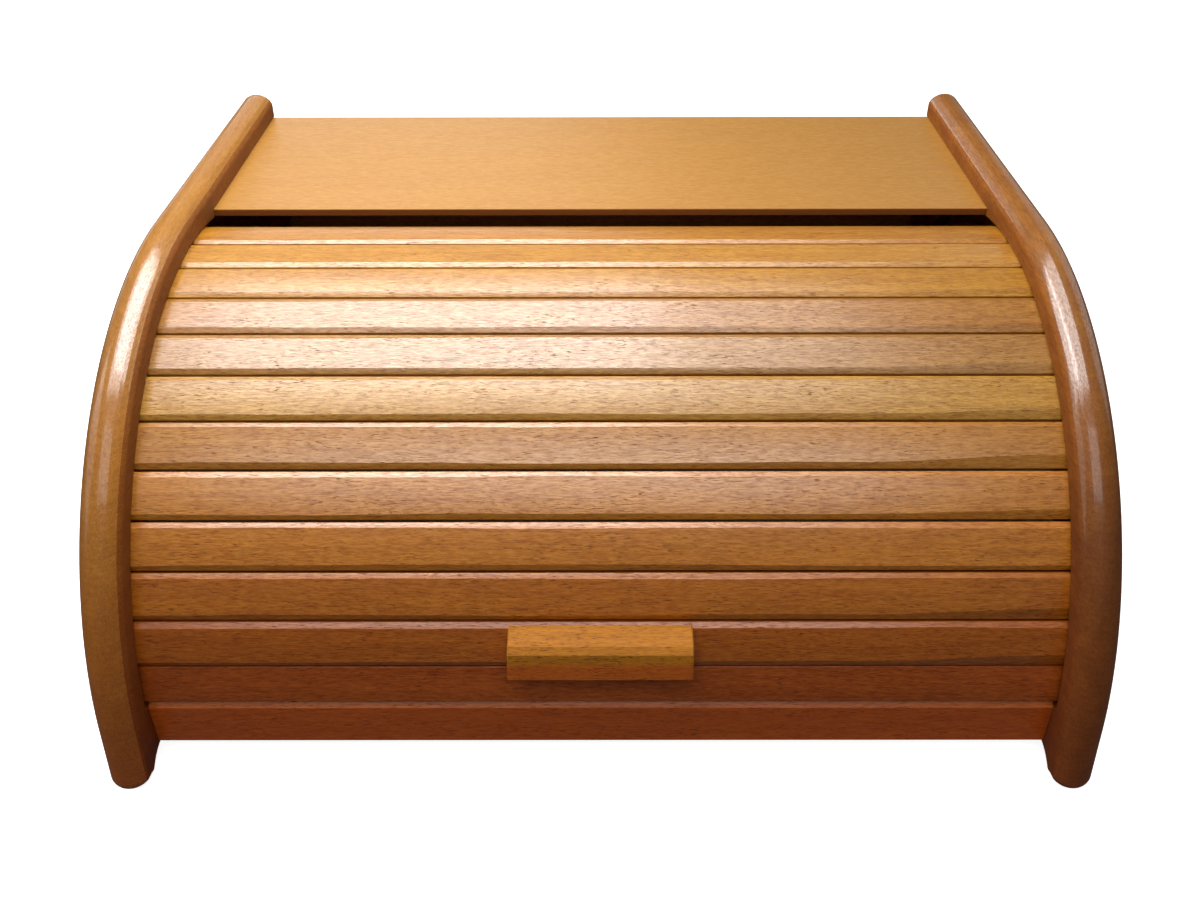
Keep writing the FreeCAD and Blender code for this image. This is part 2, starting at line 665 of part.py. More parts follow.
# ---------------------------------------------------------------- checks and export
doc.recompute()
for thing in doc.Objects:
    if {"Invalid", "Error"} & set(thing.State):
        raise RuntimeError(f"{thing.Label} is {thing.State}")
os.makedirs("parts", exist_ok=True)
for node in NODES:
    if node.Shape.isNull() or not node.Shape.isValid():
        raise RuntimeError(f"{node.Label} has no valid shape")
    node.Shape.exportStep(f"parts/{node.Label}.step")
    box = node.Shape.BoundBox
    spans = [f"{low:7.1f} {high:7.1f}" for low, high in
             ((box.XMin, box.XMax), (box.YMin, box.YMax), (box.ZMin, box.ZMax))]
    print(f"{node.Label:20s} {len(node.Shape.Solids)} solids {node.Shape.Volume / 1000:8.2f} cm3", *spans)
for name in ("track_centre", "track_radius", "shutter_start", "shutter_travel", "pitch", "slat_width"):
    print(f"{name:20s} {cell(name):9.3f}")
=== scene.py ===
import json
import math

import bmesh
import bpy
from mathutils import Matrix, Vector, geometry


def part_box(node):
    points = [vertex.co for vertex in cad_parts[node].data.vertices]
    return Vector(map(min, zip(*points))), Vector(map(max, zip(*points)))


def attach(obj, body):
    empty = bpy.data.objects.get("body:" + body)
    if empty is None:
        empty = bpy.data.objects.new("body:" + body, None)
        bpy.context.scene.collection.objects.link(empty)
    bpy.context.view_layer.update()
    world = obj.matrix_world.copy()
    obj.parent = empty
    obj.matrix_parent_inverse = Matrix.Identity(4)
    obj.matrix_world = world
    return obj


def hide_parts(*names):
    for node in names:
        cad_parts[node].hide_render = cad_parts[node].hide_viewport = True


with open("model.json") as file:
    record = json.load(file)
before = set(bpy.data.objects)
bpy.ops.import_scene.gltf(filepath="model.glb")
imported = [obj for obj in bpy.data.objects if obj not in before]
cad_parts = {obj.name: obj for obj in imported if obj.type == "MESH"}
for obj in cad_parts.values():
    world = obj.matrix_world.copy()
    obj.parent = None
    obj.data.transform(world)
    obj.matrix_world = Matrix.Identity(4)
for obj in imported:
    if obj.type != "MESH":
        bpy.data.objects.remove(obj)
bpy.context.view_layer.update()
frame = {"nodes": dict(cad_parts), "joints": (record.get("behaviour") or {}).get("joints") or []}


# ---------------------------------------------------------------- side panels
# Two panels of 16.5 mm solid beech, sawn to a quarter circle with a foot at the front and at the back.
# A router has rounded the rim fully on the outside and lightly on the inside, and has cut the groove
# that the shutter runs in. Stained and lacquered.
MM = 0.001
ROLL = frame["joints"][0]
TRACK = Vector(ROLL["pos_m"])                # centre of the groove's circle
PANEL_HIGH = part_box("right_side_panel")[1]
BACK_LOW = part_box("back_panel")[0]
TOP_LOW, TOP_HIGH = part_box("top_board")
INNER = 175 * MM                             # from the middle of the box to a panel's inner face
PANEL_THICK = PANEL_HIGH.x - INNER
CROWN_INSET = 8.2 * MM                       # inner face to the rim's highest line
CROWN_RISE = 5.2 * MM                        # inner arris to the rim's highest line
OUTER_ROUND = PANEL_THICK - CROWN_INSET
INNER_ROUND = (CROWN_INSET ** 2 + CROWN_RISE ** 2) / (2 * CROWN_RISE)
RIM_RADIUS = PANEL_HIGH.z - TRACK.z
TIP_RADIUS = 5 * MM
FOOT_FLAT = 1 * MM
FOOT_RISE = 8 * MM
RISE_RUN = 13 * MM
REAR_FOOT = 24 * MM
EASED = 0.9 * MM                             # sanded edges of the back and the underside
ARRIS = 0.22 * MM                            # sanding of the arris where the rim meets the inner face
TRACK_OUTER = 147.8 * MM
TRACK_INNER = 140.7 * MM
TRACK_DEPTH = 7 * MM
TRACK_START = math.radians(8.183)            # the groove's front end, above level
TRACK_STEP = 2.5 * MM
REBATE_DEPTH = 9 * MM                        # for the back panel
HOUSING_DEPTH = 6 * MM                       # for the top board
HOUSING_PLAY = 0.15 * MM
RIM_STEP = 2.4 * MM
UNDER_STEP = 4 * MM
TIP_STEP = 0.7 * MM
FOOT_STEP = 1.2 * MM
RIM_TURNS = range(9, 91, 9)                  # degrees round the outer rounding, one ring of points each
INNER_TURNS = (12, 24, 36, 48, 57)
NO_NEARER = 0.02 * MM                        # how far short of its inset a ring's point may come


class Socket:
    """An output of a shader node. Sums, products and comparisons with it add Math nodes."""

    def __init__(self, finish, link):
        self.finish = finish
        self.link = link

    def maths(self, operation, first, second=0.0):
        return self.finish.node("Math", {"operation": operation}, {0: first, 1: second})

    def __add__(self, other):
        return self.maths("ADD", self, other)

    def __radd__(self, other):
        return self.maths("ADD", other, self)

    def __sub__(self, other):
        return self.maths("SUBTRACT", self, other)

    def __rsub__(self, other):
        return self.maths("SUBTRACT", other, self)

    def __mul__(self, other):
        return self.maths("MULTIPLY", self, other)

    def __rmul__(self, other):
        return self.maths("MULTIPLY", other, self)

    def __abs__(self):
        return self.maths("ABSOLUTE", self)

    def __lt__(self, other):
        return self.maths("LESS_THAN", self, other)


class Finish:
    """A new material or sky in the making. node() adds a node and feeds its sockets by name or number."""

    def __init__(self, owner, shader="Principled BSDF"):
        owner.use_nodes = True
        self.owner = owner
        self.tree = owner.node_tree
        self.shader = self.tree.nodes[shader]

    def node(self, kind, settings=None, sockets=None, output=0):
        made = self.tree.nodes.new("ShaderNode" + kind)
        for key, value in (settings or {}).items():
            if key == "stops":
                self.set_stops(made.color_ramp, value)
            else:
                setattr(made, key, value)
        for key, value in (sockets or {}).items():
            self.feed(made.inputs[key], value)
        return Socket(self, made.outputs[output])

    def set_stops(self, ramp, stops):
        while len(ramp.elements) > 1:
            ramp.elements.remove(ramp.elements[-1])
        ramp.elements[0].position = stops[0][0]
        for place, _ in stops[1:]:
            ramp.elements.new(place)
        for element, (_, level) in zip(ramp.elements, stops):
            element.color = (*level, 1) if isinstance(level, tuple) else (level, level, level, 1)

    def feed(self, socket, value):
        if isinstance(value, Socket):
            self.tree.links.new(value.link, socket)
        else:
            socket.default_value = value

    def surface(self, **values):
        """Set or feed the shader's own sockets, with _ for a space in a name."""
        for name, value in values.items():
            self.feed(self.shader.inputs[name.replace("_", " ")], value)
        return self.owner


def shade(red, green, blue):
    """A colour as seen on a screen, 0 to 255, in the shader's linear light."""
    def linear(level):
        level /= 255
        return level / 12.92 if level <= 0.04045 else ((level + 0.055) / 1.055) ** 2.4
    return (linear(red), linear(green), linear(blue), 1)


def beech(name, light, dark, pore, along="X", rings=0.0, gloss=0.36, coat=1.0, pores=1.0, polish=0.2,
          blotches=0.0, lustre=1.9, per_board=None, by_height=None, bare=None, outside=None):
    """Stained, lacquered beech: soft bands, fine fibres and short dark flecks, all along the grain.
    rings adds growth rings stacked upwards. per_board gives tint and coat by a board's number over a
    scale, and by_height gives them from the table up to the top; where the callers' tints darken lower
    parts they are painted shade, and where they lighten a top they are a painted highlight.
    bare gives an axis, a distance from the middle and a tint: nearer in, there is no lacquer and the
    colour takes the tint.
    outside gives two distances from the middle along X and a tint that comes in between them."""
    finish = Finish(bpy.data.materials.new(name))
    place = finish.node("TexCoord", output="Object")
    if per_board:
        board = finish.node("Attribute", {"attribute_name": "board"}, output="Fac")
        drift = finish.node("CombineXYZ", sockets={0: board * 0.371, 1: board * 0.173, 2: board * 0.237})
        place = finish.node("VectorMath", {"operation": "ADD"}, {0: place, 1: drift})

    def grain(length, width, detail=2.0, roughness=0.5, distortion=0.0):
        """Noise drawn out along the grain; its features are about length by width, in millimetres."""
        stretch = [1 / (width * MM)] * 3
        stretch["XYZ".index(along)] = 1 / (length * MM)
        spot = finish.node("VectorMath", {"operation": "MULTIPLY"}, {0: place, 1: stretch})
        return finish.node("TexNoise", sockets={
            "Vector": spot, "Scale": 1.0, "Detail": detail, "Roughness": roughness, "Distortion": distortion})

    def steps(value, *stops):
        return finish.node("ValToRGB", {"stops": stops}, {"Fac": value})

    def mix(factor, first, second, blend="MIX"):
        return finish.node("Mix", {"data_type": "RGBA", "blend_type": blend},
                           {"Factor": factor, 6: first, 7: second}, output=2)

    def off_middle(axis):
        return abs(finish.node("SeparateXYZ", sockets={0: place}, output="XYZ".index(axis)))

    waves = grain(150, 8, 3.0, 0.5, 0.4)
    bands = steps(waves, (0.34, 0.0), (0.66, 1.0))
    streak = steps(waves, (0.485, 0.0), (0.50, 1.0), (0.515, 0.0))
    fibres = steps(grain(4.5, 0.55, 3.0, 0.7), (0.37, 0.0), (0.63, 1.0))
    threads = steps(grain(30, 1.5, 2.0, 0.6), (0.36, 0.0), (0.64, 1.0))
    crowd = steps(grain(22, 6, 1.0), (0.32, 0.4), (0.60, 1.0))
    mottle = steps(grain(18, 9, 2.0, 0.6), (0.34, 0.0), (0.66, 1.0))
    flecks = steps(grain(3.0, 0.32, 1.0, 0.5), (0.60, 0.0), (0.67, 1.0))
    tone = bands * 0.15 + fibres * 0.58 + threads * 0.17 + mottle * 0.10
    fleck = flecks * crowd * pores
    colour = mix(tone, dark, light)
    colour = mix(streak * 0.30 * bands, colour, pore)
    colour = mix(mottle * blotches, colour, dark, "MULTIPLY")
    if rings:
        flow = finish.node("VectorMath", {"operation": "MULTIPLY"}, {0: place, 1: (0.35, 0.10, 1.0)})
        line = finish.node("TexWave", {"bands_direction": "Z", "wave_profile": "SAW"}, {
            "Vector": flow, "Scale": 120.0, "Distortion": 5.0, "Detail": 2.0, "Detail Scale": 0.35})
        colour = mix(steps(line, (0.0, 0.0), (0.9, 1.0), (1.0, 0.0)) * rings, colour, dark, "MULTIPLY")
    colour = mix(fleck * 0.7, colour, pore)
    shine = coat
    if per_board:
        number = board * (1 / per_board["scale"])
        colour = mix(1.0, colour, steps(number, *per_board["tint"]), "MULTIPLY")
        shine = steps(number, *per_board["coat"])
    rough = gloss - 0.04 + fibres * 0.08 + fleck * 0.15
    if by_height:
        height = finish.node("SeparateXYZ", sockets={0: place}, output=2) * (1 / PANEL_HIGH.z)
        colour = mix(1.0, colour, steps(height, *by_height["tint"]), "MULTIPLY")
        shine = shine * steps(height, *by_height["coat"])
    shine = (0.45 + 0.55 * fibres) * (1 - fleck) * shine
    if bare:
        axis, limit, tint = bare
        dull = off_middle(axis) < limit
        colour = mix(dull, colour, mix(1.0, colour, (*tint, 1), "MULTIPLY"))
        shine = (1 - dull) * shine
        rough = rough + dull * 0.25
    if outside:
        start, end, tint = outside
        near_face = finish.node("MapRange", sockets={
            "Value": off_middle("X"), "From Min": start, "From Max": end})
        colour = mix(near_face, colour, mix(1.0, colour, (*tint, 1), "MULTIPLY"))
    relief = fibres * 0.5 - fleck
    bump = finish.node("Bump", sockets={"Strength": 0.35, "Distance": 0.06 * MM, "Height": relief})
    return finish.surface(Base_Color=colour, Roughness=rough, Normal=bump, Coat_Weight=shine,
                          Coat_Roughness=polish, Coat_IOR=lustre, Specular_IOR_Level=0.25)


def arc(centre, radius, start, end, step):
    """Points on an arc in the YZ plane; angles are in radians from +Y towards +Z."""
    count = max(2, math.ceil(abs(end - start) * radius / step))
    turns = [start + (end - start) * i / count for i in range(count + 1)]
    return [centre + radius * Vector((math.cos(t), math.sin(t))) for t in turns]


def run(start, end, step):
    """Points from start up to but not including end."""
    count = max(1, math.ceil((end - start).length / step))
    return [start.lerp(end, i / count) for i in range(count)]


def panel_edges(insets):
    """The panel's outline, as the rounded rim from the back's top round to the front foot, and the
    underside with the back. The back edge has a point at each of the insets below the rim."""
    back, top = PANEL_HIGH.y, PANEL_HIGH.z
    centre = Vector((TRACK.y, TRACK.z))
    tip = Vector((-back + TIP_RADIUS, TIP_RADIUS))
    reach = centre - tip
    lean = math.acos((RIM_RADIUS - TIP_RADIUS) / reach.length) - math.atan2(reach.y, reach.x)
    rim = run(Vector((back, top)), Vector((centre.x, top)), RIM_STEP)
    rim += arc(centre, RIM_RADIUS, math.pi / 2, math.pi - lean, RIM_STEP)
    rim += arc(tip, TIP_RADIUS, math.pi - lean, 1.5 * math.pi, TIP_STEP)
    foot_end = Vector((tip.x + FOOT_FLAT, 0))
    rim.append(foot_end)
    rise = (RISE_RUN ** 2 + FOOT_RISE ** 2) / (2 * FOOT_RISE)
    turn = math.asin(RISE_RUN / rise)
    front_top = Vector((foot_end.x + RISE_RUN, FOOT_RISE))
    rear_top = Vector((back - REAR_FOOT - RISE_RUN, FOOT_RISE))
    under = arc(front_top - Vector((0, rise)), rise, math.pi / 2 + turn, math.pi / 2, FOOT_STEP)[1:-1]
    under += run(front_top, rear_top, UNDER_STEP)
    under += arc(rear_top - Vector((0, rise)), rise, math.pi / 2, math.pi / 2 - turn, FOOT_STEP)[:-1]
    under += run(Vector((back - REAR_FOOT, 0)), Vector((back, 0)), UNDER_STEP)
    under += run(Vector((back, 0)), Vector((back, top - insets[-1])), UNDER_STEP)
    under += [Vector((back, top - inset)) for inset in reversed(insets)]
    return rim, under


def distance(point, line):
    """From a point to the nearest place on a chain of points."""
    nearest = 1.0
    for a, b in zip(line, line[1:]):
        ab = b - a
        share = min(1.0, max(0.0, (point - a).dot(ab) / ab.length_squared))
        nearest = min(nearest, (a + ab * share - point).length_squared)
    return math.sqrt(nearest)


def ease(inset, radius):
    """How far a rounded edge of this radius lies below the flat face, at an inset from the edge."""
    if inset >= radius:
        return 0.0
    return radius - math.sqrt(radius ** 2 - (radius - inset) ** 2)


def rounded_plate(name):
    """The panel's plate with its rims rounded, its inner face at INNER."""
    insets = sorted({round(OUTER_ROUND * (1 - math.cos(math.radians(a))), 6) for a in RIM_TURNS}
                    | {round(INNER_ROUND * (1 - math.cos(math.radians(a))), 6) for a in INNER_TURNS}
                    | {CROWN_RISE + k * ARRIS for k in (-2.5, -1, 0, 1, 2.5)})
    rim, under = panel_edges(insets)
    outline = rim + under
    closed_under = [rim[-1]] + under + [rim[0]]
    count = len(outline)
    normals = []
    for i, point in enumerate(outline):
        along = outline[(i + 1) % count] - outline[i - 1]
        normals.append(Vector((-along.y, along.x)).normalized())
    normals[0] = Vector((0, -1))
    normals[len(rim) - 1] = Vector((0, 1))
    points = list(outline)
    ring = outline + outline[:1]
    edges = [(i, (i + 1) % count) for i in range(count)]
    for source, levels in ((rim, insets), (under, [0.3 * MM, EASED])):
        first = 0 if source is rim else len(rim)
        for inset in levels:
            previous = None
            for i in range(first, first + len(source)):
                spot = outline[i] + normals[i] * inset
                clear = inset - NO_NEARER
                if source is rim and distance(spot, rim) < clear or distance(spot, ring) < clear:
                    previous = None
                    continue
                points.append(spot)
                if previous is not None:
                    edges.append((previous, len(points) - 1))
                previous = len(points) - 1
    flat, _, faces, _, _, _ = geometry.delaunay_2d_cdt(points, edges, [list(range(count))], 1, 1e-7)
    outer, inner = [], []
    for point in flat:
        to_rim = distance(point, rim)
        to_under = distance(point, closed_under)
        rounding = ease(to_under, EASED)
        if to_rim < CROWN_RISE:
            hollow = CROWN_INSET - math.sqrt(INNER_ROUND ** 2 - (INNER_ROUND - to_rim) ** 2)
        else:
            hollow = CROWN_RISE - to_rim
        if abs(to_rim - CROWN_RISE) < 8 * ARRIS:
            hollow = (hollow + math.sqrt(hollow ** 2 + ARRIS ** 2)) / 2
        rim_rise = OUTER_ROUND
        if to_rim < OUTER_ROUND:
            rim_rise = math.sqrt(OUTER_ROUND ** 2 - (OUTER_ROUND - to_rim) ** 2)
        inner.append(INNER + max(hollow, rounding))
        outer.append(INNER + min(CROWN_INSET + rim_rise, PANEL_THICK - rounding))
    shape = bmesh.new()
    outer_points = [shape.verts.new((x, p.x, p.y)) for x, p in zip(outer, flat)]
    inner_points = [shape.verts.new((x, p.x, p.y)) for x, p in zip(inner, flat)]
    borders = {}
    for face in faces:
        shape.faces.new([outer_points[i] for i in face])
        shape.faces.new([inner_points[i] for i in reversed(face)])
        for a, b in zip(face, face[1:] + face[:1]):
            borders[(a, b)] = borders.get((a, b), 0) + 1
    for a, b in borders:
        if (b, a) not in borders:
            shape.faces.new([outer_points[b], outer_points[a], inner_points[a], inner_points[b]])
    bmesh.ops.remove_doubles(shape, verts=shape.verts, dist=2e-6)
    bmesh.ops.dissolve_degenerate(shape, edges=shape.edges, dist=2e-6)
    bmesh.ops.recalc_face_normals(shape, faces=shape.faces)
    return finished(shape, name)


def finished(shape, name, smooth_below=32):
    """An object with this mesh, shaded smooth except across edges sharper than the angle."""
    mesh = bpy.data.meshes.new(name)
    shape.to_mesh(mesh)
    shape.free()
    mesh.shade_smooth()
    mesh.set_sharp_from_angle(angle=math.radians(smooth_below))
    thing = bpy.data.objects.new(name, mesh)
    bpy.context.scene.collection.objects.link(thing)
    return thing


def prism(name, section, x_low, x_high):
    """A plain solid with a section in the YZ plane, for cutting."""
    shape = bmesh.new()
    low = [shape.verts.new((x_low, p.x, p.y)) for p in section]
    high = [shape.verts.new((x_high, p.x, p.y)) for p in section]
    shape.faces.new(low)
    shape.faces.new(high[::-1])
    for i in range(len(section)):
        j = (i + 1) % len(section)
        shape.faces.new([low[j], low[i], high[i], high[j]])
    bmesh.ops.recalc_face_normals(shape, faces=shape.faces)
    return finished(shape, name)


def settle(thing):
    """Replace an object's mesh by what its modifiers make of it."""
    evaluated = thing.evaluated_get(bpy.context.evaluated_depsgraph_get())
    mesh = bpy.data.meshes.new_from_object(evaluated)
    thing.modifiers.clear()
    thing.data = mesh
    return thing


def cut_away(thing, cutters):
    """Cut these solids out of a thing, and do away with them."""
    for cutter in cutters:
        modifier = thing.modifiers.new("cut", "BOOLEAN")
        modifier.operation = "DIFFERENCE"
        modifier.solver = "EXACT"
        modifier.object = cutter
    settle(thing)
    for cutter in cutters:
        bpy.data.objects.remove(cutter)


def block(y_low, z_low, y_high, z_high):
    """The four corners of a rectangle in the YZ plane."""
    corners = ((y_low, z_low), (y_high, z_low), (y_high, z_high), (y_low, z_high))
    return [Vector(corner) for corner in corners]


def side_panel(node, piece, side, finish):
    """One panel, rounded and then grooved, housed and rebated; side is -1 at the left."""
    plate = rounded_plate(piece)
    centre = Vector((TRACK.y, TRACK.z))
    groove = arc(centre, TRACK_OUTER, math.pi - TRACK_START, 0, TRACK_STEP)
    groove += arc(centre, TRACK_INNER, 0, math.pi - TRACK_START, TRACK_STEP)
    play, past = HOUSING_PLAY, PANEL_HIGH.y + MM
    cuts = [
        (groove, TRACK_DEPTH),
        (block(BACK_LOW.y, BACK_LOW.z - play, past, TOP_LOW.z - play), REBATE_DEPTH),
        (block(TOP_LOW.y - play, TOP_LOW.z - play, past, TOP_HIGH.z + play), HOUSING_DEPTH),
    ]
    cut_away(plate, [prism("cutter", section, INNER - 5 * MM, INNER + depth) for section, depth in cuts])
    shape = bmesh.new()
    shape.from_mesh(plate.data)
    if side < 0:
        bmesh.ops.scale(shape, vec=(-1, 1, 1), verts=shape.verts)
        bmesh.ops.reverse_faces(shape, faces=shape.faces)
    bmesh.ops.remove_doubles(shape, verts=shape.verts, dist=1e-6)
    bpy.data.objects.remove(plate)
    panel = finished(shape, piece, smooth_below=28)
    panel.data.materials.append(finish)
    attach(panel, "case")
    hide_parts(node)


def panel_beech(name, blotches, bare_limit, bare_tint, tint, outside=None):
    """The panels' wood: the lacquer is worn dull but on the rim's shoulder, and the inside has none."""
    return beech(name, shade(188, 126, 48), shade(150, 88, 28), shade(96, 50, 16), along="Y", rings=0.12,
                 gloss=0.4, pores=0.7, polish=0.14, blotches=blotches, lustre=2.2,
                 bare=("X", bare_limit, bare_tint), outside=outside, by_height={
                     "coat": [(0.0, 0.2), (0.76, 0.25), (0.86, 1.0), (0.96, 1.0), (0.99, 0.5)],
                     "tint": tint})


# Painted shade: the tints by height turn both panels redder towards the table, and the left panel's inner
# face, bare of lacquer, is tinted darker.
left_beech = panel_beech("left_panel_beech", 0.15, INNER + 1.3 * MM, (0.62, 0.48, 0.42), [
    (0.0, (1.05, 0.70, 0.85)), (0.35, (1.0, 0.85, 0.85)), (0.6, (0.94, 0.94, 0.81)),
    (0.85, (0.93, 0.98, 0.95)), (1.0, (0.88, 1.0, 1.05))])
# Painted shade: the right panel is tinted darker than the left all over, most in the middle, as the light
# falls from the left; its flat outer face is tinted back up towards the left's tone.
right_beech = panel_beech("right_panel_beech", 0.3, INNER + 0.9 * MM, (1.0, 0.9, 0.8), [
    (0.0, (0.68, 0.44, 0.55)), (0.6, (0.50, 0.40, 0.40)), (0.85, (0.75, 0.68, 0.5)),
    (1.0, (0.78, 0.74, 0.5))],
    outside=(PANEL_HIGH.x - 1.6 * MM, PANEL_HIGH.x - 0.05 * MM, (1.6, 1.85, 1.8)))
side_panel("left_side_panel", "left_panel", -1, left_beech)
side_panel("right_side_panel", "right_panel", 1, right_beech)


# ---------------------------------------------------------------- rails, boards and back
# Planed bars and thin boards of beech between the panels, doweled or housed into them. Every arris
# is broken with fine paper. The front rail has a planed chamfer along its top.
def eased_section(corners, radius, parts=3):
    """The section's corners rounded to a small radius; corners run anticlockwise seen from +X."""
    rounded = []
    count = len(corners)
    for i, corner in enumerate(corners):
        before = (corners[i - 1] - corner).normalized()
        after = (corners[(i + 1) % count] - corner).normalized()
        half = before.angle(after) / 2
        limit = 0.45 * min((corners[i - 1] - corner).length, (corners[(i + 1) % count] - corner).length)
        setback = min(radius / math.tan(half), limit)
        reach = setback * math.tan(half)
        centre = corner + (before + after).normalized() * (reach / math.sin(half))
        first = corner + before * setback - centre
        last = corner + after * setback - centre
        for k in range(parts + 1):
            share = k / parts
            spoke = (first * (1 - share) + last * share).normalized() * reach
            rounded.append(centre + spoke)
    return rounded


FLAT_AT_LEAST = 1.6 * MM                     # narrower strips of a section are part of a rounding


def milled(name, corners, x_low, x_high, radius, spacing=None, end_ease=0.3 * MM):
    """A bar along X with a rounded section and eased ends."""
    section = eased_section(corners, radius)
    middle = sum(section, Vector((0, 0))) / len(section)
    stations = [x_low + end_ease, x_high - end_ease]
    if spacing:
        count = math.ceil((x_high - x_low - 2 * end_ease) / spacing)
        stations = [stations[0] + (stations[1] - stations[0]) * i / count for i in range(count + 1)]
    shape = bmesh.new()
    rings = []
    for x, shrink in [(x_low, end_ease)] + [(x, 0) for x in stations] + [(x_high, end_ease)]:
        ring = []
        for p in section:
            out = p - middle
            spot = p - out.normalized() * shrink
            ring.append(shape.verts.new((x, spot.x, spot.y)))
        rings.append(ring)
    for low, high in zip(rings, rings[1:]):
        for i in range(len(section)):
            j = (i + 1) % len(section)
            shape.faces.new([low[j], low[i], high[i], high[j]])
    shape.faces.new(rings[0])
    shape.faces.new(rings[-1][::-1])
    bmesh.ops.recalc_face_normals(shape, faces=shape.faces)
    bar = finished(shape, name)
    around = len(section)
    rounding = [(section[(i + 1) % around] - section[i]).length < FLAT_AT_LEAST for i in range(around)]
    for face in bar.data.polygons:
        face.use_smooth = face.index < around * (len(rings) - 1) and rounding[face.index % around]
    return bar


def fixed(piece, node, finish):
    """Finish a piece of the case and let it stand for its node."""
    piece.data.materials.append(finish)
    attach(piece, "case")
    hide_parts(node)


RAIL_CHAMFER = 2.4 * MM
# Painted highlight: towards its top the rail is tinted lighter and bluer, along the chamfer.
rail_beech = beech("rail_beech", shade(220, 105, 26), shade(182, 76, 18), shade(100, 42, 16),
                   gloss=0.42, coat=0.5, by_height={"coat": [(0.0, 1.0)], "tint": [
                       (0.170, (1.0, 1.0, 1.0)), (0.183, (0.8, 1.15, 1.4))]})
low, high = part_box("front_rail")
front_rail = milled("front_rail_bar", [
    Vector((low.y, low.z)), Vector((high.y, low.z)), Vector((high.y, high.z)),
    Vector((low.y + RAIL_CHAMFER, high.z)), Vector((low.y, high.z - RAIL_CHAMFER))],
    low.x, high.x, 0.45 * MM, end_ease=0.1 * MM)
fixed(front_rail, "front_rail", rail_beech)

board_beech = beech("board_beech", shade(175, 123, 46), shade(158, 107, 35), shade(120, 72, 26), gloss=0.4,
                    coat=0.9, pores=0.3, polish=0.4,
                    bare=("Y", TOP_LOW.y + 0.35 * MM, (0.55, 0.34, 0.3)))
top_board = milled("top_board_panel", block(TOP_LOW.y, TOP_LOW.z, TOP_HIGH.y, TOP_HIGH.z),
                   TOP_LOW.x, TOP_HIGH.x, 0.3 * MM)
fixed(top_board, "top_board", board_beech)

inner_beech = beech("inner_beech", shade(206, 160, 108), shade(184, 132, 82), shade(140, 92, 54),
                    gloss=0.5, coat=0.0)
for node in ("base_board", "back_panel", "rear_bottom_rail", "rear_top_rail",
             "front_rail_dowels", "rear_rail_dowels"):
    thing = frame["nodes"][node]
    thing.data.materials.clear()
    thing.data.materials.append(inner_beech)


# ---------------------------------------------------------------- shutter slats
# Twelve beech slats, 6 mm thick. The lowest is plain and thinner; the others have planed chamfers
# along both long edges, a little uneven, and the last one a wide shallow bevel at its rear.
SLAT_COUNT = 12
SLAT_THICK = 6 * MM
BACK_RADIUS = 141.3 * MM                     # from the track's centre to the slats' backs
SLAT_GAP = 0.34 * MM
CHAMFER_WIDTH = 2.0 * MM
CHAMFER_DEPTH = 1.15 * MM
TAIL_WIDTH = 6.6 * MM
TAIL_DEPTH = 0.7 * MM
END_WIDTH = 15.9 * MM
END_THICK = 4.6 * MM
SHUTTER_START = math.radians(9.183)
SHUTTER_END = math.radians(97.268)
END_PITCH = 2 * math.atan((END_WIDTH + SLAT_GAP) / 2 / BACK_RADIUS)
PITCH = (SHUTTER_END - SHUTTER_START - END_PITCH) / (SLAT_COUNT - 1)
SLAT_WIDTH = 2 * BACK_RADIUS * math.tan(PITCH / 2) - SLAT_GAP
SLAT_LOW, SLAT_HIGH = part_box("slat_03")
SLAT_EASE = 0.28 * MM
STATION_GAP = 5 * MM                         # between a slat's rings of points
WANDER = 2.2 * MM                            # how far the chamfers' edges may stray
RUN_OUT = 3.2 * MM                           # the most that a lower chamfer widens at the right
RUN_OUT_START, RUN_OUT_END = 100 * MM, 172 * MM
SHARP_FROM = math.radians(32)


def slat_blank(name, width, thick, front, rear):
    """A slat standing at the front of the track, its back at BACK_RADIUS; front and rear are the
    chamfers' widths and depths, or None."""
    back, face, half = -BACK_RADIUS, -BACK_RADIUS - thick, width / 2
    corners = [Vector((back, -half)), Vector((back, half))]
    for chamfer, side in ((rear, 1), (front, -1)):
        if chamfer:
            wide, deep = chamfer
            pair = [Vector((face + deep, side * half)), Vector((face, side * (half - wide)))]
            corners += pair[::side]
        else:
            corners.append(Vector((face, side * half)))
    return milled(name, corners, SLAT_LOW.x, SLAT_HIGH.x, SLAT_EASE, spacing=STATION_GAP)


class Layout:
    """A Geometry Nodes tree in the making, with named inputs; add() gives a node's first output."""

    def __init__(self, name, **kinds):
        self.tree = bpy.data.node_groups.new(name, "GeometryNodeTree")
        self.sockets = {}
        self.tree.interface.new_socket("Geometry", in_out="INPUT", socket_type="NodeSocketGeometry")
        for key, kind in kinds.items():
            made = self.tree.interface.new_socket(
                key.replace("_", " "), in_out="INPUT", socket_type="NodeSocket" + kind)
            self.sockets[key] = made.identifier
        self.tree.interface.new_socket("Geometry", in_out="OUTPUT", socket_type="NodeSocketGeometry")
        self.given = self.tree.nodes.new("NodeGroupInput").outputs
        self.result = self.tree.nodes.new("NodeGroupOutput").inputs

    def add(self, kind, settings=None, feeds=None):
        made = self.tree.nodes.new(kind)
        for key, value in (settings or {}).items():
            setattr(made, key, value)
        for key, value in (feeds or {}).items():
            if isinstance(value, bpy.types.NodeSocket):
                self.tree.links.new(value, made.inputs[key])
            else:
                made.inputs[key].default_value = value
        return made.outputs[0]

    def maths(self, operation, first, second):
        return self.add("ShaderNodeMath", {"operation": operation}, {0: first, 1: second})

    def end(self, geometry):
        coated = self.add("GeometryNodeSetMaterial", feeds={
            "Geometry": geometry, "Material": self.given["Finish"]})
        self.tree.links.new(coated, self.result[0])

    def lay(self, thing, **values):
        """Make a thing's mesh into what the tree lays out of it."""
        modifier = thing.modifiers.new(self.tree.name, "NODES")
        modifier.node_group = self.tree
        for key, value in values.items():
            modifier[self.sockets[key]] = value
        settle(thing)


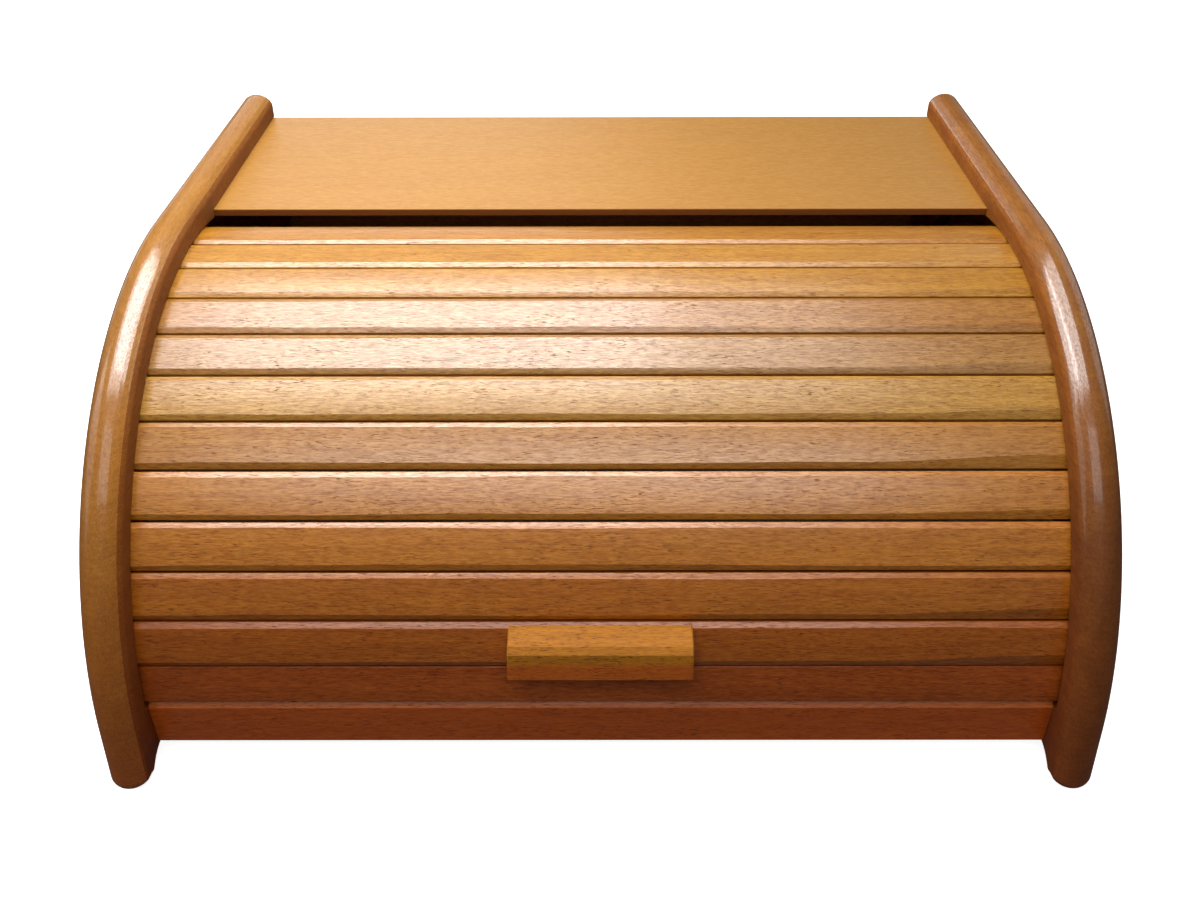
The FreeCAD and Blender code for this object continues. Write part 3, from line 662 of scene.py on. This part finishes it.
def roll_layout():
    """Copies of a slat round the track, each numbered, with uneven chamfers."""
    roll = Layout("slats_round_the_track", Slats="Int", First_number="Int", First_angle="Float",
                  Pitch="Float", Centre="Vector", Unevenness="Float", Run_out="Float", Finish="Material")
    given, add, maths = roll.given, roll.add, roll.maths
    spots = add("GeometryNodeMeshLine", {"mode": "OFFSET"}, {"Count": given["Slats"]})
    gather = add("GeometryNodeSetPosition", feeds={"Geometry": spots, "Position": given["Centre"]})
    index = add("GeometryNodeInputIndex")
    number = maths("ADD", index, given["First number"])
    numbered = add("GeometryNodeStoreNamedAttribute", {"data_type": "FLOAT", "domain": "POINT"}, {
        "Geometry": gather, "Name": "board", "Value": number})
    angle = maths("ADD", given["First angle"], maths("MULTIPLY", index, given["Pitch"]))
    turn = add("ShaderNodeCombineXYZ", feeds={"X": maths("MULTIPLY", angle, -1.0)})
    rotation = add("FunctionNodeEulerToRotation", feeds={0: turn})
    copies = add("GeometryNodeInstanceOnPoints", feeds={
        "Points": numbered, "Instance": given["Geometry"], "Rotation": rotation})
    solid = add("GeometryNodeRealizeInstances", feeds={"Geometry": copies})
    # planed by hand: along each slat the chamfers' edges wander by a few tenths of a millimetre
    position = add("GeometryNodeInputPosition")
    along = add("ShaderNodeSeparateXYZ", feeds={0: position})
    tag = add("GeometryNodeInputNamedAttribute", {"data_type": "FLOAT"}, {"Name": "board"})
    arris = add("GeometryNodeInputNamedAttribute", {"data_type": "FLOAT"}, {"Name": "arris"})
    seed = maths("ADD", maths("MULTIPLY", tag, 7.31), maths("MULTIPLY", arris, 2.17))
    spot = add("ShaderNodeCombineXYZ", feeds={"X": maths("MULTIPLY", along, 9.0), "Y": seed, "Z": 0.5})
    wander = add("ShaderNodeTexNoise", {"noise_dimensions": "3D"}, {
        "Vector": spot, "Scale": 1.0, "Detail": 2.0})
    stray = maths("MULTIPLY", maths("SUBTRACT", wander, 0.5), given["Unevenness"])
    uneven = maths("MULTIPLY", stray, arris)
    # the lower chamfers widen towards the right-hand ends, on some slats more than on others
    ending = add("ShaderNodeMapRange", {"interpolation_type": "SMOOTHSTEP"}, {
        "Value": along, "From Min": RUN_OUT_START, "From Max": RUN_OUT_END,
        "To Max": given["Run out"]})
    chance = add("ShaderNodeTexWhiteNoise", {"noise_dimensions": "1D"}, {"W": tag})
    lower = maths("GREATER_THAN", arris, 0.5)
    amount = maths("ADD", uneven, maths("MULTIPLY", maths("MULTIPLY", ending, chance), lower))
    spoke = add("ShaderNodeVectorMath", {"operation": "SUBTRACT"}, {0: position, 1: given["Centre"]})
    across = add("ShaderNodeVectorMath", {"operation": "CROSS_PRODUCT"}, {0: spoke, 1: (1, 0, 0)})
    unit = add("ShaderNodeVectorMath", {"operation": "NORMALIZE"}, {0: across})
    shift = add("ShaderNodeVectorMath", {"operation": "SCALE"}, {0: unit, "Scale": amount})
    roll.end(add("GeometryNodeSetPosition", feeds={"Geometry": solid, "Offset": shift}))
    return roll


def mark_arrises(slat, width, thick, front, rear):
    """Weight 1 on the front chamfer's upper arris and -1 on the rear one's, for the unevenness."""
    face = -BACK_RADIUS - thick
    near_face, near_arris = 0.35 * MM, 0.5 * MM
    layer = slat.data.attributes.new("arris", "FLOAT", "POINT")
    for vertex in slat.data.vertices:
        on_face = abs(vertex.co.y - face) < near_face
        weight = 0.0
        if front and on_face and abs(vertex.co.z - (front[0] - width / 2)) < near_arris:
            weight = 1.0
        if rear and on_face and abs(vertex.co.z - (width / 2 - rear[0])) < near_arris:
            weight = -1.0
        layer.data[vertex.index].value = weight


# Each slat's tint was fitted to how it looks under the light, so besides the slats' own differences it holds
# painted shade: the lower slats are darker and redder.
SLAT_STAINS_AND_SHADE = (
    (0.86, 0.40, 0.36), (0.83, 0.47, 0.22), (0.93, 0.61, 0.16), (1.00, 0.76, 0.38),
    (0.98, 0.82, 0.45), (0.82, 0.74, 0.60), (0.90, 1.00, 1.00), (0.72, 0.74, 0.95),
    (0.70, 0.64, 0.50), (0.84, 0.82, 0.26), (0.90, 0.92, 0.90), (0.84, 0.76, 0.36))
NUMBER_SCALE = SLAT_COUNT + 1
slat_beech = beech("slat_beech", shade(206, 148, 56), shade(150, 90, 26), shade(88, 46, 16),
                   gloss=0.36, polish=0.27, per_board={
                       "scale": NUMBER_SCALE,
                       "tint": [(n / NUMBER_SCALE, tint) for n, tint in enumerate(SLAT_STAINS_AND_SHADE, start=1)],
                       "coat": [(0.08, 0.4), (0.22, 1.0)]})
roll = roll_layout()
CHAMFER = (CHAMFER_WIDTH, CHAMFER_DEPTH)
for piece, number, count, width, thick, front, rear in (
        ("slat_first", 1, 1, END_WIDTH, END_THICK, None, None),
        ("slats_middle", 2, SLAT_COUNT - 2, SLAT_WIDTH, SLAT_THICK, CHAMFER, CHAMFER),
        ("slat_last", SLAT_COUNT, 1, SLAT_WIDTH, SLAT_THICK, CHAMFER, (TAIL_WIDTH, TAIL_DEPTH))):
    slats = slat_blank(piece, width, thick, front, rear)
    mark_arrises(slats, width, thick, front, rear)
    first_angle = SHUTTER_START + END_PITCH / 2
    if number > 1:
        first_angle = SHUTTER_START + END_PITCH + (number - 1.5) * PITCH
    roll.lay(slats, Slats=count, First_number=number, First_angle=first_angle, Pitch=PITCH,
             Centre=TRACK[:], Unevenness=WANDER, Run_out=RUN_OUT, Finish=slat_beech)
    slats.data.set_sharp_from_angle(angle=SHARP_FROM)
    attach(slats, "shutter")
    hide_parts(*[f"slat_{n:02d}" for n in range(number, number + count)])


# ---------------------------------------------------------------- canvas backing
# One piece of cotton canvas glued to the backs of the slats, so that they roll as one shutter.
CANVAS_THICK = 0.6 * MM
CANVAS_GLUE = 0.05 * MM
CANVAS_SHORT = math.radians(0.3)             # short of the shutter's ends by this much of a turn
THREADS = {"Scale": 330.0, "Distortion": 0.6}
canvas_low, canvas_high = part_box("shutter_canvas")


def canvas_finish():
    """Plain woven cotton, with its weave from the cloth's own map in metres."""
    finish = Finish(bpy.data.materials.new("cotton_canvas"))
    cloth = finish.node("UVMap")
    warp = finish.node("TexWave", {"bands_direction": "X"}, {"Vector": cloth, **THREADS})
    weft = finish.node("TexWave", {"bands_direction": "Y"}, {"Vector": cloth, **THREADS})
    slub = finish.node("TexNoise", sockets={"Vector": cloth, "Scale": 260.0, "Detail": 3.0})
    threads = warp * weft * 0.7 + slub * 0.3
    colour = finish.node("Mix", {"data_type": "RGBA"}, {
        "Factor": threads, 6: shade(132, 116, 88), 7: shade(196, 182, 150)}, output=2)
    bump = finish.node("Bump", sockets={"Strength": 0.5, "Distance": 0.2 * MM, "Height": threads})
    return finish.surface(Base_Color=colour, Roughness=0.9, Normal=bump)


def canvas_sheet():
    """The cloth from the first slat to the last, flat on each back and folded at the joints."""
    joints = [SHUTTER_START + CANVAS_SHORT]
    joints += [SHUTTER_START + END_PITCH + i * PITCH for i in range(SLAT_COUNT - 1)]
    joints.append(SHUTTER_END - CANVAS_SHORT)
    near = BACK_RADIUS - CANVAS_GLUE
    shape = bmesh.new()
    map_layer = shape.loops.layers.uv.new("cloth")
    rows, lengths = [], [0.0]
    for k, angle in enumerate(joints):
        fold = 1 / math.cos(PITCH / 2)
        spot = Vector((TRACK.y - near * fold * math.cos(angle), TRACK.z + near * fold * math.sin(angle)))
        deep = Vector((TRACK.y - (near - CANVAS_THICK) * fold * math.cos(angle),
                       TRACK.z + (near - CANVAS_THICK) * fold * math.sin(angle)))
        rows.append((spot, deep))
        if k:
            lengths.append(lengths[-1] + (spot - rows[k - 1][0]).length)
    sides = (canvas_low.x, canvas_high.x)
    grid = [[[shape.verts.new((x, p.x, p.y)) for x in sides] for p in row] for row in rows]

    def skin(corners, places):
        face = shape.faces.new(corners)
        for loop, place in zip(face.loops, places):
            loop[map_layer].uv = place

    width = canvas_high.x - canvas_low.x
    for k in range(len(rows) - 1):
        here, there = lengths[k], lengths[k + 1]
        for side in (0, 1):
            a, b = grid[k][side], grid[k + 1][side]
            skin([a[0], a[1], b[1], b[0]], [(0, here), (width, here), (width, there), (0, there)])
        for edge in (0, 1):
            skin([grid[k][0][edge], grid[k + 1][0][edge], grid[k + 1][1][edge], grid[k][1][edge]],
                 [(0, here), (0, there), (CANVAS_THICK, there), (CANVAS_THICK, here)])
    for row in (grid[0], grid[-1]):
        skin([row[0][0], row[0][1], row[1][1], row[1][0]],
             [(0, 0), (width, 0), (width, CANVAS_THICK), (0, CANVAS_THICK)])
    bmesh.ops.recalc_face_normals(shape, faces=shape.faces)
    return finished(shape, "canvas_backing", smooth_below=5), (width, lengths[-1])


canvas, canvas_flat = canvas_sheet()
canvas.data.materials.append(canvas_finish())
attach(canvas, "shutter")
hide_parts("shutter_canvas")


# ---------------------------------------------------------------- handle
# A short beech bar on the second slat, with a planed bevel along its top front edge and a cove
# underneath for the fingers. Two pan-head screws hold it from the inside.
HANDLE_DEPTH = 10 * MM
HANDLE_LOW = 9.3 * MM
HANDLE_HIGH = 8.7 * MM
COVE_DEPTH = 2.4 * MM
HANDLE_ANGLE = SHUTTER_START + END_PITCH + PITCH / 2
HANDLE_SCREW_SPACING = 40 * MM
HANDLE_NOSE = ((0.82, 0.42), (0.985, 0.1))   # its bevel's corners, in shares of depth and height
COVE_PARTS = 6
handle_low, handle_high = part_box("handle")


def on_track(thing, angle):
    """Turn a mesh made at the front of the track, about its centre, to its angle."""
    turn = Matrix.Rotation(-angle, 4, "X")
    thing.data.transform(Matrix.Translation(TRACK) @ turn)


face = -BACK_RADIUS - SLAT_THICK
cove = []
for i in range(COVE_PARTS + 1):
    share = i / COVE_PARTS
    depth = 0.9 - 0.8 * share
    cove.append(Vector((face - HANDLE_DEPTH * depth, -HANDLE_LOW + COVE_DEPTH * math.sin(math.pi * share))))
nose = [Vector((face - HANDLE_DEPTH * out, HANDLE_HIGH * up)) for out, up in HANDLE_NOSE]
handle_corners = [Vector((face, -HANDLE_LOW)), Vector((face, HANDLE_HIGH)), *nose,
                  Vector((face - HANDLE_DEPTH, -HANDLE_LOW)), *cove]
handle = milled("handle_bar", handle_corners, handle_low.x, handle_high.x, 0.4 * MM, end_ease=0.5 * MM)
on_track(handle, HANDLE_ANGLE)
# Painted shade: below its top face the handle is tinted redder and darker, on its front and in its cove.
handle_beech = beech("handle_beech", shade(185, 119, 24), shade(148, 86, 14), shade(84, 42, 14),
                     gloss=0.65, coat=0.0, pores=1.2, by_height={"coat": [(0.0, 1.0)], "tint": [
                         (0.343, (1.0, 0.62, 0.85)), (0.352, (1.0, 1.0, 1.0))]})
handle.data.materials.append(handle_beech)
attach(handle, "shutter")
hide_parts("handle")


# ---------------------------------------------------------------- screws
# Zinc-plated wood screws with cross recesses. Eight with countersunk heads hold the back panel on,
# and two with pan heads, driven from the inside through the canvas and the slat, hold the handle.
SCREW_SIDES = 24
THREAD_PITCH = 1.1 * MM
THREAD_ROOT = 0.76                           # share of the shank's radius
RECESS_WIDTH = 0.8 * MM
RECESS_DEPTH = 1.2 * MM
BACK_SCREW_RADIUS = 1.5 * MM
BACK_HEAD_RADIUS = 3 * MM
BACK_SCREW_LENGTH = 14 * MM
BACK_SCREWS_PER_ROW = 4
BACK_RECESS_REACH = 1.7 * MM
PAN_RADIUS = 3.4 * MM
PAN_HEIGHT = 2.2 * MM
PAN_EDGE = 0.66 * MM
HANDLE_SCREW_RADIUS = 1.75 * MM
HANDLE_SCREW_LENGTH = 15 * MM
HANDLE_RECESS_REACH = 1.9 * MM
POINT_LENGTH = 2.5 * MM
DOME_PARTS = 5


def screw_blank(name, head, shank_radius, length, reach):
    """A screw that points to -Y with its seat at the origin. head is its half section from the top's
    middle, as radii and places along the screw; reach is half the recess's length."""
    tip = length - POINT_LENGTH
    profile = list(head)
    along = profile[-1][1] + THREAD_PITCH
    while along < tip:
        profile += [(shank_radius * THREAD_ROOT, along), (shank_radius, along + THREAD_PITCH / 2)]
        along += THREAD_PITCH
    profile += [(shank_radius * THREAD_ROOT, along), (0, length)]
    shape = bmesh.new()
    rings = []
    for radius, place in profile:
        turns = [2 * math.pi * k / SCREW_SIDES for k in range(SCREW_SIDES if radius else 1)]
        rings.append([shape.verts.new((radius * math.cos(t), -place, radius * math.sin(t))) for t in turns])
    for near, far in zip(rings, rings[1:]):
        for k in range(SCREW_SIDES):
            corners = [near[k % len(near)], near[(k + 1) % len(near)],
                       far[(k + 1) % len(far)], far[k % len(far)]]
            shape.faces.new(list(dict.fromkeys(corners)))
    bmesh.ops.recalc_face_normals(shape, faces=shape.faces)
    screw = finished(shape, name)
    top = -head[0][1]
    narrow = RECESS_WIDTH / 2
    arm = block(top - RECESS_DEPTH, -reach, top + MM, reach)
    bar = block(top - RECESS_DEPTH, -narrow, top + MM, narrow)
    cut_away(screw, [prism("cutter", arm, -narrow, narrow), prism("cutter", bar, -reach, reach)])
    return screw


def rows_layout():
    """Copies of a screw in columns and rows, each turned by chance about its length."""
    rows = Layout("screws_in_rows", Columns="Int", Rows="Int", First="Vector", To_next_column="Vector",
                  To_next_row="Vector", Seed="Int", Finish="Material")
    given, add = rows.given, rows.add
    across = add("GeometryNodeMeshLine", feeds={"Count": given["Columns"], "Offset": given["To next column"]})
    upwards = add("GeometryNodeMeshLine", feeds={
        "Count": given["Rows"], "Start Location": given["First"], "Offset": given["To next row"]})
    lines = add("GeometryNodeInstanceOnPoints", feeds={"Points": upwards, "Instance": across})
    spots = add("GeometryNodeRealizeInstances", feeds={"Geometry": lines})
    chance = add("FunctionNodeRandomValue", {"data_type": "FLOAT_VECTOR"}, {
        "Max": (0, math.tau, 0), "Seed": given["Seed"]})
    turn = add("FunctionNodeEulerToRotation", feeds={0: chance})
    copies = add("GeometryNodeInstanceOnPoints", feeds={
        "Points": spots, "Instance": given["Geometry"], "Rotation": turn})
    rows.end(add("GeometryNodeRealizeInstances", feeds={"Geometry": copies}))
    return rows


def zinc_finish():
    """Bright zinc plate, a little hazy."""
    finish = Finish(bpy.data.materials.new("zinc_plate"))
    place = finish.node("TexCoord", output="Object")
    haze = finish.node("TexNoise", sockets={"Vector": place, "Scale": 900.0, "Detail": 3.0})
    colour = finish.node("Mix", {"data_type": "RGBA"}, {
        "Factor": haze, 6: shade(150, 150, 146), 7: shade(206, 206, 200)}, output=2)
    return finish.surface(Base_Color=colour, Metallic=1.0, Roughness=0.28 + haze * 0.16)


zinc = zinc_finish()
rows = rows_layout()
low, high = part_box("back_panel_screws")
back_screws = screw_blank("back_screws", [
    (0, 0), (BACK_HEAD_RADIUS, 0), (BACK_SCREW_RADIUS, BACK_HEAD_RADIUS - BACK_SCREW_RADIUS)],
    BACK_SCREW_RADIUS, BACK_SCREW_LENGTH, BACK_RECESS_REACH)
column_step = (high.x - low.x - 2 * BACK_HEAD_RADIUS) / (BACK_SCREWS_PER_ROW - 1)
row_step = high.z - low.z - 2 * BACK_HEAD_RADIUS
rows.lay(back_screws, Columns=BACK_SCREWS_PER_ROW, Rows=2,
         First=(low.x + BACK_HEAD_RADIUS, high.y, low.z + BACK_HEAD_RADIUS),
         To_next_column=(column_step, 0, 0), To_next_row=(0, 0, row_step), Seed=3, Finish=zinc)
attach(back_screws, "case")
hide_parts("back_panel_screws")

rise = PAN_HEIGHT - PAN_EDGE
dome = (rise ** 2 + PAN_RADIUS ** 2) / (2 * rise)
dome_turn = math.asin(PAN_RADIUS / dome)
turns = [dome_turn * k / DOME_PARTS for k in range(DOME_PARTS + 1)]
pan_head = [(dome * math.sin(turn), dome - PAN_HEIGHT - dome * math.cos(turn)) for turn in turns]
handle_screws = screw_blank("handle_pan_screws", pan_head + [(PAN_RADIUS, 0), (HANDLE_SCREW_RADIUS, 0)],
                            HANDLE_SCREW_RADIUS, HANDLE_SCREW_LENGTH, HANDLE_RECESS_REACH)
seat = BACK_RADIUS - CANVAS_GLUE - CANVAS_THICK
rows.lay(handle_screws, Columns=2, Rows=1, First=(-HANDLE_SCREW_SPACING / 2, -seat, 0),
         To_next_column=(HANDLE_SCREW_SPACING, 0, 0), To_next_row=(0, 0, 0), Seed=8, Finish=zinc)
on_track(handle_screws, HANDLE_ANGLE)
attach(handle_screws, "shutter")
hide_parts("handle_screws")


# ---------------------------------------------------------------- table, camera and light
# The box stands on a plain white table in a dim even room. Two large soft lights hang over it and a
# small one just above its top, and broad weaker ones fill in from the left, the right and behind.
# The table glows a little and throws no light back up at the wood.
TABLE_REACH = 4.0


def table():
    """A square white table top, for show only."""
    shape = bmesh.new()
    signs = ((-1, -1), (1, -1), (1, 1), (-1, 1))
    corners = [shape.verts.new((x * TABLE_REACH, y * TABLE_REACH, 0)) for x, y in signs]
    shape.faces.new(corners)
    floor = finished(shape, "table_top")
    finish = Finish(bpy.data.materials.new("white_table"))
    place = finish.node("TexCoord", output="Object")
    cloud = finish.node("TexNoise", sockets={"Vector": place, "Scale": 3.0, "Detail": 2.0})
    white = finish.node("Mix", {"data_type": "RGBA"}, {
        "Factor": cloud, 6: (0.86, 0.86, 0.86, 1), 7: (0.90, 0.90, 0.90, 1)}, output=2)
    floor.data.materials.append(finish.surface(
        Base_Color=white, Roughness=0.7, Emission_Color=(1, 1, 1, 1), Emission_Strength=0.85))
    floor.visible_diffuse = False
    floor.visible_glossy = False


def soft_light(name, place, aim, size, radiance):
    """A rectangular lamp of this brightness, whatever its size."""
    lamp = bpy.data.lights.new(name, "AREA")
    lamp.shape = "RECTANGLE"
    lamp.size, lamp.size_y = size
    lamp.energy = radiance * math.pi * size[0] * size[1]
    thing = bpy.data.objects.new(name, lamp)
    thing.location = place
    thing.rotation_euler = (Vector(aim) - Vector(place)).to_track_quat("-Z", "Y").to_euler()
    bpy.context.scene.collection.objects.link(thing)


def sky():
    """A dim even sky, darker below the horizon; looked at directly, it is a pale backdrop."""
    finish = Finish(bpy.data.worlds.new("soft_sky"), "Background")
    height = finish.node("SeparateXYZ", sockets={0: finish.node("TexCoord")}, output="Z")
    dim = finish.node("ValToRGB", {"stops": [(0.0, 0.07), (0.12, 0.14)]}, {"Fac": height})
    direct = finish.node("LightPath", output="Is Camera Ray")
    seen = finish.node("Mix", {"data_type": "RGBA"}, {
        "Factor": direct, 6: dim, 7: (0.8, 0.8, 0.8, 1)}, output=2)
    bpy.context.scene.world = finish.surface(Color=seen)


table()
sky()
soft_light("near_softbox", (-0.11, 0.035, 0.41), (-0.11, 0.035, 0), (0.30, 0.30), 3.9)
soft_light("overhead", (-0.16, 0.17, 1.15), (-0.16, 0.17, 0), (1.0, 1.05), 3.2)
soft_light("overhead_front", (-0.05, -0.85, 1.1), (0, 0, 0.1), (1.0, 0.5), 3.0)
soft_light("low_behind", (-0.45, 1.5, 0.42), (-0.1, 0, 0.15), (0.8, 0.2), 2.0)
soft_light("high_behind", (-0.3, 1.5, 0.74), (-0.1, 0, 0.15), (0.8, 0.4), 0.6)
soft_light("far_left", (-1.5, 1.5, 0.15), (-0.19, 0, 0.12), (1.0, 0.3), 1.2)
soft_light("left", (-1.3, -0.2, 0.6), (0, 0, 0.1), (0.8, 0.8), 1.5)
soft_light("right_behind", (1.8, 1.2, 0.9), (0.19, 0, 0.08), (2.4, 1.6), 0.5)
bpy.context.scene.view_settings.view_transform = "Standard"

IMAGE_WIDTH = 1200
FOCAL = 1135.6                               # focal length, in the image's pixels
AXIS_RISE = 78.66                            # how far the view's axis lies above the image's middle
CAMERA_PLACE = (0.00055, -0.43022, 0.38065)
LOOK_DOWN = 33.702                           # degrees below level
LOOK_ASIDE = 0.099
CAMERA_ROLL = -0.119
lens = bpy.data.cameras.new("view")
lens.sensor_width = 36
lens.lens = 36 * FOCAL / IMAGE_WIDTH
lens.shift_y = -AXIS_RISE / IMAGE_WIDTH
lens.clip_start = 0.01
camera = bpy.data.objects.new("view", lens)
camera.matrix_world = (Matrix.Translation(CAMERA_PLACE)
                       @ Matrix.Rotation(math.radians(LOOK_ASIDE), 4, "Z")
                       @ Matrix.Rotation(math.radians(90 - LOOK_DOWN), 4, "X")
                       @ Matrix.Rotation(math.radians(CAMERA_ROLL), 4, "Z"))
bpy.context.scene.collection.objects.link(camera)
bpy.context.scene.camera = camera
